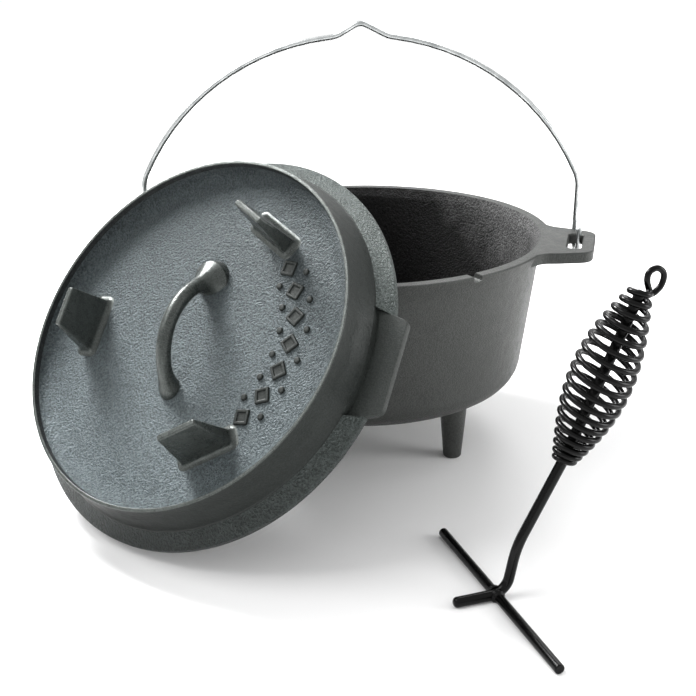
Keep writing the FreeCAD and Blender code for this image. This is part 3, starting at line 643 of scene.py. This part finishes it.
def arc_points(centre, radius, start, end, steps=4):
    """Points on an arc between two directions in degrees."""
    angles = np.radians(np.linspace(start, end, steps + 1))
    return [(centre[0] + radius * math.cos(angle), centre[1] + radius * math.sin(angle))
            for angle in angles]


POT_OUTSIDE = rounded_path(
    [(0, BASE), (WALL_FOOT, BASE), (WALL_TOP - BAND_STEP, BAND_FOOT[1]), BAND_FOOT,
     (band_radius(BAND_LOW), BAND_LOW)],
    [BASE_ROUND, 0.5, 0.4])
POT_INSIDE = rounded_path(
    [(RIM_FLAT[1], RIM_TOP), (RIM_INNER, RIM_TOP), BEVEL_FOOT, (INNER_FOOT, FLOOR), (0, FLOOR)],
    [0.9, 12.0, FLOOR_ROUND])


def pot_section(azimuth):
    """The pot's cut outline at an azimuth: outside from the base up, over the rim or ear, inside down."""
    ear = ear_radius(azimuth)
    bed = band_radius(EAR_UNDER)
    over = max(ear - bed, 0.0)
    cove = min(EAR_COVE, EAR_SHARE * over)
    edge = min(EAR_EDGE, EAR_SHARE * over)
    reach = bed + over
    outline = [tuple(point) for point in POT_OUTSIDE]
    outline += [(bed + cove - x, EAR_UNDER - cove + y) for x, y in arc_points((0, 0), cove, 0, 90)]
    outline += [(reach - edge + x, EAR_UNDER + edge + y) for x, y in arc_points((0, 0), edge, -90, 0)]
    for height in EAR_LEVELS:
        outline.append((max(band_radius(height), ear), height))
    rim = max(band_radius(RIM_TOP - RIM_ROUND), ear)
    outline += arc_points((rim - RIM_ROUND, RIM_TOP - RIM_ROUND), RIM_ROUND, 0, 90)
    for share in (0.3, 0.6, 0.85):
        outline.append((rim - RIM_ROUND + (RIM_FLAT[0] - rim + RIM_ROUND) * share, RIM_TOP))
    outline += [tuple(point) for point in POT_INSIDE]
    return outline


def pot_azimuths():
    """Directions of the pot's sections, closer together over the ears."""
    azimuths = []
    for ear in (EAR_AZIMUTH, EAR_AZIMUTH + 180):
        azimuths += list(ear + np.arange(-EAR_SPAN, EAR_SPAN, EAR_STEP))
        azimuths += list(ear + np.arange(EAR_SPAN, 180 - EAR_SPAN, WALL_STEP))
    return azimuths


def slot_tool(azimuth):
    """The form that cuts an ear's slot, flared a little at its mouths."""
    below, above = EAR_UNDER, RIM_TOP
    levels = ((below - 2, 2 * SLOT_FLARE), (below, SLOT_FLARE), (below + 0.6, 0.25), (below + 1.4, 0.0),
              (above - 1.4, 0.0), (above - 0.6, 0.25), (above, SLOT_FLARE), (above + 2, 2 * SLOT_FLARE))
    loops = []
    for height, flare in levels:
        loop = rounded_loop(box_corners(*SLOT_HALF), SLOT_ROUND, -flare)
        loops.append((loop + (SLOT_MIDDLE, 0), height))
    vertices, faces, spots = stack(loops)
    return mesh_object("slot", [(turned(vertices, azimuth), faces, spots)], POT_FINISHES)


def notch_tool():
    """The form that cuts the thermometer's notch through the rim."""
    half = NOTCH_WIDE / 2
    depth = RIM_TOP - NOTCH_DEEP
    notch = [(half + 0.8, RIM_TOP + 3), (half + 0.5, RIM_TOP + 0.1), (half, RIM_TOP - 0.9)]
    for angle in np.linspace(0.2, math.pi - 0.2, 9):
        notch.append((half * math.cos(angle), depth + NOTCH_ROUND - NOTCH_ROUND * math.sin(angle)))
    notch += [(-across, height) for across, height in notch[2::-1]]
    rings = np.array([[(out, across, height) for across, height in notch] for out in NOTCH_REACH])
    vertices, faces = grid(rings, wrap_columns=True)
    count = len(notch)
    faces += [list(range(count)), list(range(count, 2 * count))]
    form = (turned(vertices, NOTCH_AZIMUTH), faces, [OUTSIDE_ZONE] * len(faces))
    return mesh_object("notch", [form], POT_FINISHES)


def pot_leg(azimuth):
    """One round leg, tapered down to its foot."""
    outline = rounded_path(LEG_OUTLINE, LEG_ROUNDS)
    vertices, faces, spots = lathe(lambda _: outline, np.arange(0, 360, 10))
    return turned(vertices + (LEG_CIRCLE, 0, 0), azimuth), faces, spots


def make_pot():
    """The pot's casting: bowl, band, ears with slots, notch and legs."""
    count = len(pot_section(0.0))
    inside_from = count - len(POT_INSIDE) + RIM_POINTS
    zones = [INSIDE_ZONE if index >= inside_from else OUTSIDE_ZONE for index in range(count - 1)]
    bowl = mesh_object("pot_casting", [lathe(pot_section, pot_azimuths(), zones)], POT_FINISHES)
    for azimuth in (EAR_AZIMUTH, EAR_AZIMUTH + 180):
        carve(bowl, slot_tool(azimuth))
    carve(bowl, notch_tool())
    legs = mesh_object("legs", [pot_leg(azimuth) for azimuth in LEG_AZIMUTHS], POT_FINISHES)
    return smoothed(joined("pot_casting", [bowl, legs]))


# ------------------------------------------------------------------ lid

LID_SECTION = rounded_path([
    (0, 21.6), (121.2, 21.6), (130.5, 17.1), (134.9, -2.0), (139.2, -2.0), (139.2, 0.0),
    (FLANGE_OUTER, 0.0), (FLANGE_OUTER, 4.89), (SKIRT_FOOT, 12.1), (134.8, 25.4), (132.9, LIP_TOP),
    (130.5, LIP_TOP), (130.0, 31.3), (119.2, PLATE_TOP), (0, PLATE_TOP),
], [4.0, 6.0, 0.8, 0.6, 0.5, 1.3, 1.47, 2.2, 40.0, 0.7, 0.6, 4.5, 12.0])


def lid_zones():
    """The zone of each stretch of the lid's section."""
    zones = []
    for radius, height in (LID_SECTION[:-1] + LID_SECTION[1:]) / 2:
        if height > PLATE_TOP - 0.5 and radius < PLATE_OUTER:
            zones.append(PLATE_ZONE)
        elif height > LIP_TOP - 1.5:
            zones.append(RAISED_ZONE)
        elif height > SKIRT_FROM and radius > SKIRT_INNER or height > LIP_TOP - 2.5:
            zones.append(SKIRT_ZONE)
        elif radius > SKIRT_FOOT and height > SHOULDER_FROM:
            zones.append(SHOULDER_ZONE)
        else:
            zones.append(UNDERSIDE_ZONE)
    return zones


def tab_outline(inset):
    """A tab's outline from inside the flange out to its straight edge."""
    corners = [(TAB_ROOT, -TAB_ROOT_HALF), (TAB_OUT, -TAB_TIP_HALF),
               (TAB_OUT, TAB_TIP_HALF), (TAB_ROOT, TAB_ROOT_HALF)]
    return rounded_loop(corners, TAB_ROUND, inset)


def recess_outline():
    """Outline of the step cut into the flange's slope over a tab, its back along the skirt."""
    reach = TAB_OUT + RECESS_PAST
    slope = (TAB_ROOT_HALF - TAB_TIP_HALF) / (TAB_OUT - math.sqrt(SKIRT_FOOT**2 - TAB_ROOT_HALF**2))
    tip = TAB_TIP_HALF - slope * RECESS_PAST
    span = math.degrees(math.asin(TAB_ROOT_HALF / SKIRT_FOOT))
    back = [(SKIRT_FOOT * math.cos(math.radians(angle)), SKIRT_FOOT * math.sin(math.radians(angle)))
            for angle in np.linspace(span, -span, 15)]
    return np.array(back + [(reach, -tip), (reach, tip)])


def recess(azimuth):
    """The step that is cut into the flange's slope over a tab."""
    vertices, faces, _ = stack([(recess_outline(), TAB_THICK), (recess_outline(), RECESS_TOP)])
    return turned(vertices, azimuth), faces, [TAB_ZONE] * len(faces)


def tab(azimuth):
    """A tab with eased edges above and below."""
    levels = ((0.05, 1.2), (0.4, 0.5), (1.2, 0.0), (TAB_THICK - 1.2, 0.0),
              (TAB_THICK - 0.35, 0.35), (TAB_THICK - 0.01, 1.2))
    vertices, faces, _ = stack([(tab_outline(inset), height) for height, inset in levels])
    return turned(vertices, azimuth), faces, [TAB_ZONE] * len(faces)


def lid_handle():
    """The loop handle, swelling into the plate at both roots."""
    across = math.radians(HANDLE_ANGLE)
    path, radii = [], []
    for angle in np.radians(np.linspace(*HANDLE_SWEEP, 61)):
        out = HANDLE_ARC * math.cos(angle)
        up = HANDLE_ARC * math.sin(angle) - HANDLE_DROP
        path.append((out * math.cos(across), out * math.sin(across), PLATE_TOP + up))
        flare = max(1 - max(up, 0.0) / HANDLE_FLARE, 0.0)
        root = HANDLE_ROOTS[0] if out > 0 else HANDLE_ROOTS[1]
        radii.append(HANDLE_BAR + (root - HANDLE_BAR) * flare**HANDLE_SWELL)
    return tube(path, radii, sides=32)


def lid_foot(azimuth):
    """One wedge foot with a cove where it grows out of the plate."""
    loops = [(rounded_loop(box_corners(*FOOT_BASE), FOOT_ROUND, -FOOT_COVE), PLATE_TOP - 1.0)]
    for angle in np.radians(np.linspace(0, 90, 7)):
        spread = FOOT_COVE * (1 - math.sin(angle))
        rise = FOOT_COVE * (1 - math.cos(angle))
        corners = foot_corners(rise / FOOT_TALL)
        loops.append((rounded_loop(corners, FOOT_ROUND, -spread), PLATE_TOP + rise - 0.02))
    for share in (0.3, 0.6):
        loops.append((rounded_loop(foot_corners(share), FOOT_ROUND), PLATE_TOP + FOOT_TALL * share))
    for angle in np.radians(np.linspace(0, 90, 5)):
        inset = FOOT_EDGE * (1 - math.cos(angle))
        rise = FOOT_TALL - FOOT_EDGE * (1 - math.sin(angle))
        corners = foot_corners(rise / FOOT_TALL)
        loops.append((rounded_loop(corners, FOOT_ROUND, inset), PLATE_TOP + rise))
    vertices, faces, spots = stack(loops)
    return turned(vertices + (FOOT_CIRCLE, 0, 0), azimuth), faces, spots


def foot_corners(share):
    """Corners of a foot's section, part of the way up."""
    thick = FOOT_BASE[0] + (FOOT_TIP[0] - FOOT_BASE[0]) * share
    wide = FOOT_BASE[1] + (FOOT_TIP[1] - FOOT_BASE[1]) * share
    return box_corners(thick, wide)


def lozenge(azimuth):
    """One raised lozenge with a sunken middle."""
    square = box_corners(LOZENGE_HALF, LOZENGE_HALF)
    levels = ((-ORNAMENT_SUNK, -0.35), (0.0, -0.3), (0.9, 0.1), (1.25, 0.35), (ORNAMENT_TALL, 0.75),
              (ORNAMENT_TALL, 1.7), (1.2, 2.0), (0.45, 2.4), (0.3, 2.8))
    loops = [(rounded_loop(square, LOZENGE_ROUND, inset, steps=3), PLATE_TOP + up)
             for up, inset in levels]
    vertices, faces, spots = stack(loops)
    on_point = turned(vertices, 45) + (ORNAMENT_CIRCLE, 0, 0)
    return turned(on_point, azimuth), faces, spots


def stud(azimuth, out):
    """One raised round stud."""
    top = PLATE_TOP + ORNAMENT_TALL
    root = PLATE_TOP - ORNAMENT_SUNK
    outline = rounded_path([(0, root), (STUD_RADIUS + 0.3, root), (STUD_RADIUS + 0.2, PLATE_TOP),
                            (STUD_RADIUS - 0.2, top), (0, top)], [0.0, 0.0, 1.0], steps=4)
    vertices, faces, spots = lathe(lambda _: outline, np.arange(0, 360, 15))
    return turned(vertices + (ORNAMENT_CIRCLE + out, 0, 0), azimuth), faces, spots


def in_zone(forms, zone):
    """The same forms with every face in one zone."""
    return [(vertices, faces, [zone] * len(faces)) for vertices, faces, _ in forms]


def make_lid():
    """The lid's casting: dish, tabs, loop handle, feet and ornament."""
    form = lathe(lambda _: LID_SECTION, np.arange(0, 360, LID_STEP), lid_zones())
    dish = mesh_object("lid_dish_form", [form], LID_FINISHES)
    for azimuth in TAB_AZIMUTHS:
        carve(dish, mesh_object("recess", [recess(azimuth)], LID_FINISHES))
        carve(dish, mesh_object("tab", [tab(azimuth)], LID_FINISHES), "UNION")
    raised = [lid_handle()] + [lid_foot(azimuth) for azimuth in FOOT_ANGLES]
    marks = [lozenge(ORNAMENT_FIRST + number * ORNAMENT_STEP) for number in range(LOZENGES)]
    for number in range(LOZENGES - 1):
        for out in (-2 * LOZENGE_HALF, 2 * LOZENGE_HALF):
            marks.append(stud(ORNAMENT_FIRST + (number + 0.5) * ORNAMENT_STEP, out))
    forms = in_zone(raised, RAISED_ZONE) + in_zone(marks, SKIRT_ZONE)
    lid = joined("lid_casting", [dish, mesh_object("raised", forms, LID_FINISHES)])
    lean = Euler((math.radians(LID_LEAN), 0, math.radians(LID_TURN)), "XYZ").to_matrix().to_4x4()
    lid.data.transform(Matrix.Translation(Vector(LID_MIDDLE) * MM) @ lean)
    return smoothed(lid)


# ------------------------------------------------------------------ bail

def make_bail():
    """The bail's wire: two hooks, the arch and the hanging kink."""
    reach, pivot = PIVOT
    level = np.array([reach, HOOK_RADIUS, 0]) / math.hypot(reach, HOOK_RADIUS)

    def arch(along, up):
        return level * along + (0, 0, pivot + up)

    def hook(way):
        return [
            (way * reach, way * HOOK_RADIUS, pivot - HOOK_RADIUS),
            (way * (reach + HOOK_DRIFT), -way * HOOK_RADIUS, pivot - HOOK_RADIUS),
            (way * (reach + HOOK_DRIFT), -way * HOOK_RADIUS, pivot + HOOK_END),
        ]

    left = [arch(-172.7, 44.3), arch(-125.2, 142.0)]
    kink = [arch(-18.5, 155.5), arch(0, 166.25), arch(21.5, 155.5)]
    right = [arch(125.2, 142.0), arch(172.7, 44.3)]
    turn = HOOK_RADIUS - 0.1
    side = [turn, turn, 28.0, 184.5]
    points = hook(-1)[::-1] + left + kink + right + hook(1)
    path = rounded_path(points, side + [24.0, 9.0, 24.0] + side[::-1], steps=14)
    path, radii = eased_ends(path, BAIL_WIRE, 0.9, tip=0.55)
    return smoothed(mesh_object("bail", [tube(path, radii, sides=24)], ZINC))


# ------------------------------------------------------------------ lifter

def lifter_point(out, up):
    """A place in the upright plane that the lifter's rod is bent in."""
    angle = math.radians(LIFTER_AZIMUTH)
    return np.array([CROSSING[0] + out * math.cos(angle), CROSSING[1] + out * math.sin(angle), up])


def weld_bead(way):
    """A run of weld round one side of the crossing, in overlapping ripples."""
    angle = math.radians(LIFTER_AZIMUTH + way * 90)
    along = np.array([math.cos(angle), math.sin(angle), 0])
    start = lifter_point(0, ROD)
    path, radii = [], []
    for step in range(WELD_STEPS + 1):
        share = step / WELD_STEPS
        path.append(start + along * (WELD_FROM + WELD_LONG * share))
        ripple = WELD_RIPPLE * abs(math.sin(share * math.pi * WELD_RIPPLES))
        radii.append(max(WELD_RADIUS * math.sqrt(max(1 - share**2.2, 0.0)), 0.2) + ripple)
    vertices, faces, spots = tube(path, radii, sides=24)
    vertices[:, 2] = np.maximum(vertices[:, 2], WELD_LOW)
    return vertices, faces, spots


def make_lifter():
    """The lifter's bent rod with its crossbar and welds."""
    rod = rounded_path([
        lifter_point(-30.0, ROD), lifter_point(7.0, ROD), lifter_point(13.2, 35.7),
        lifter_point(*GRIP_LOW), lifter_point(*GRIP_HIGH),
    ], [13.0, 70.0, 40.0], steps=16)
    rod, rod_radii = eased_ends(rod, ROD, 2.6, tip=0.2)
    angle = math.radians(LIFTER_AZIMUTH - 90)
    along = np.array([math.cos(angle), math.sin(angle), 0])
    middle = lifter_point(0, ROD)
    bar = [middle + along * way for way in np.linspace(-ARM_LONG, ARM_LONG, 9)]
    bar, bar_radii = eased_ends(bar, ARM, 0.8, tip=0.7)
    parts = [tube(rod, rod_radii, sides=28), tube(bar, bar_radii, sides=28), weld_bead(-1), weld_bead(1)]
    return smoothed(mesh_object("lifter_frame", parts, ENAMEL))


def curve_point(before, start, end, after, share):
    """A place part of the way along a smooth curve from start to end, past their neighbours."""
    return 0.5 * (2 * start + (end - before) * share
                  + (2 * before - 5 * start + 4 * end - after) * share**2
                  + (3 * start - before - 3 * end + after) * share**3)


def make_grip():
    """The grip: one wire wound in a barrel round the rod, ending in the hanging eye."""
    low, high = lifter_point(*GRIP_LOW), lifter_point(*GRIP_HIGH)
    axis = high - low
    length = np.linalg.norm(axis)
    axis /= length
    angle = math.radians(LIFTER_AZIMUTH)
    across = np.array([-math.sin(angle), math.cos(angle), 0])
    outward = np.cross(across, axis)
    path = []
    for step in range(COIL_TURNS * COIL_STEPS - COIL_SHORT):
        share = step / (COIL_TURNS * COIL_STEPS)
        rise = 1 - (1 - share ** COIL_CROWDING[0]) ** COIL_CROWDING[1]
        radius = COIL_END + COIL_BULGE * max(math.sin(math.pi * rise), 0.0) ** COIL_FULLNESS
        turn = 2 * math.pi * COIL_TURNS * share
        wind = outward * math.cos(turn) + across * math.sin(turn)
        slant = COIL_SLANT * (radius - COIL_END) * math.sin(turn)
        path.append(low + axis * (length * rise + slant) + wind * radius)
    eye = [lifter_point(*place) for place in EYE]
    knots = np.array([path[-9], path[-1]] + eye + [eye[-1] * 2 - eye[-2]])
    for index in range(len(eye)):
        for share in np.linspace(0, 1, 7)[1:]:
            path.append(curve_point(*knots[index:index + 4], share))
    path, radii = eased_ends(path, COIL_WIRE, 0.8, tip=0.5, steps=3)
    return smoothed(mesh_object("lifter_grip", [tube(path, radii, sides=16)], ENAMEL))


# ------------------------------------------------------------------ pieces on their bodies

pot = make_pot()
lid = make_lid()
bail = make_bail()
lifter = make_lifter()
grip = make_grip()

POT_NODES = ("pot_bowl", "pot_ear_right", "pot_ear_left", "pot_leg_right", "pot_leg_back", "pot_leg_left")
LID_NODES = ("lid_dish", "lid_handle", "lid_ornament", "lid_foot_upper", "lid_foot_left", "lid_foot_right")
ROD_NODES = ("lifter_rod", "lifter_crossbar_near", "lifter_crossbar_far",
             "lifter_weld_near", "lifter_weld_far")
GRIP_NODES = ("lifter_grip_coil", "lifter_hanging_eye")
for piece, body, nodes, finish in (
    (pot, "pot", POT_NODES, "pot_iron"),
    (lid, "lid", LID_NODES, "lid_iron"),
    (bail, "bail", ("bail_wire",), "bail_wire"),
    (lifter, "lifter", ROD_NODES, "lifter_black"),
    (grip, "lifter", GRIP_NODES, "lifter_black"),
):
    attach(piece, body)
    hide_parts(*nodes)

# ------------------------------------------------------------------ stage, light and camera

# Places and sizes of the stage are in metres.
FLOOR_HALF = 20.0
OBJECT_MIDDLE = (0.0, -0.08, 0.12)
SUN_WAY = (0.75, 0.15, -1.0)
SUN_ENERGY = 1.1
SKY_STRENGTH = 0.82
CAMERA_PLACE = (0.0561, -0.9361, 0.4321)
LENS = 62.07
SENSOR = 36.0

floor_mesh = bpy.data.meshes.new("floor")
floor_mesh.from_pydata([(-FLOOR_HALF, -FLOOR_HALF, 0), (FLOOR_HALF, -FLOOR_HALF, 0),
                        (FLOOR_HALF, FLOOR_HALF, 0), (-FLOOR_HALF, FLOOR_HALF, 0)], [], [(0, 1, 2, 3)])
floor_mesh.materials.append(FLOOR_FINISH)
floor = bpy.data.objects.new("floor", floor_mesh)
bpy.context.scene.collection.objects.link(floor)


def soft_light(name, place, width, power):
    """A square soft light at a place, turned towards the object."""
    lamp = bpy.data.lights.new(name, "AREA")
    lamp.size = width
    lamp.energy = power
    light = bpy.data.objects.new(name, lamp)
    light.location = place
    light.rotation_euler = (Vector(OBJECT_MIDDLE) - Vector(place)).to_track_quat("-Z", "Y").to_euler()
    bpy.context.scene.collection.objects.link(light)


soft_light("key", place=(-0.7, 0.42, 0.98), width=0.42, power=31)
soft_light("side", place=(1.3, -0.25, 0.42), width=0.6, power=8)
soft_light("back", place=(0.3, 1.2, 1.3), width=0.7, power=10)

sun_data = bpy.data.lights.new("sky", "SUN")
sun_data.energy = SUN_ENERGY
sun_data.angle = math.radians(30)
sun = bpy.data.objects.new("sky", sun_data)
sun.rotation_euler = Vector(SUN_WAY).to_track_quat("-Z", "Y").to_euler()
bpy.context.scene.collection.objects.link(sun)

world = bpy.data.worlds.new("studio")
world.use_nodes = True
world.node_tree.nodes["Background"].inputs["Color"].default_value = (1.0, 1.0, 1.0, 1)
world.node_tree.nodes["Background"].inputs["Strength"].default_value = SKY_STRENGTH
bpy.context.scene.world = world
bpy.context.scene.view_settings.view_transform = "Standard"

camera_data = bpy.data.cameras.new("camera")
camera_data.lens = LENS
camera_data.sensor_width = SENSOR
camera_data.clip_end = 100.0
camera = bpy.data.objects.new("camera", camera_data)
yaw = Matrix.Rotation(math.radians(4.1), 4, "Z")
pitch = Matrix.Rotation(math.radians(68.89), 4, "X")
roll = Matrix.Rotation(math.radians(-0.4), 4, "Z")
camera.matrix_world = Matrix.Translation(CAMERA_PLACE) @ yaw @ pitch @ roll
bpy.context.scene.collection.objects.link(camera)
bpy.context.scene.camera = camera
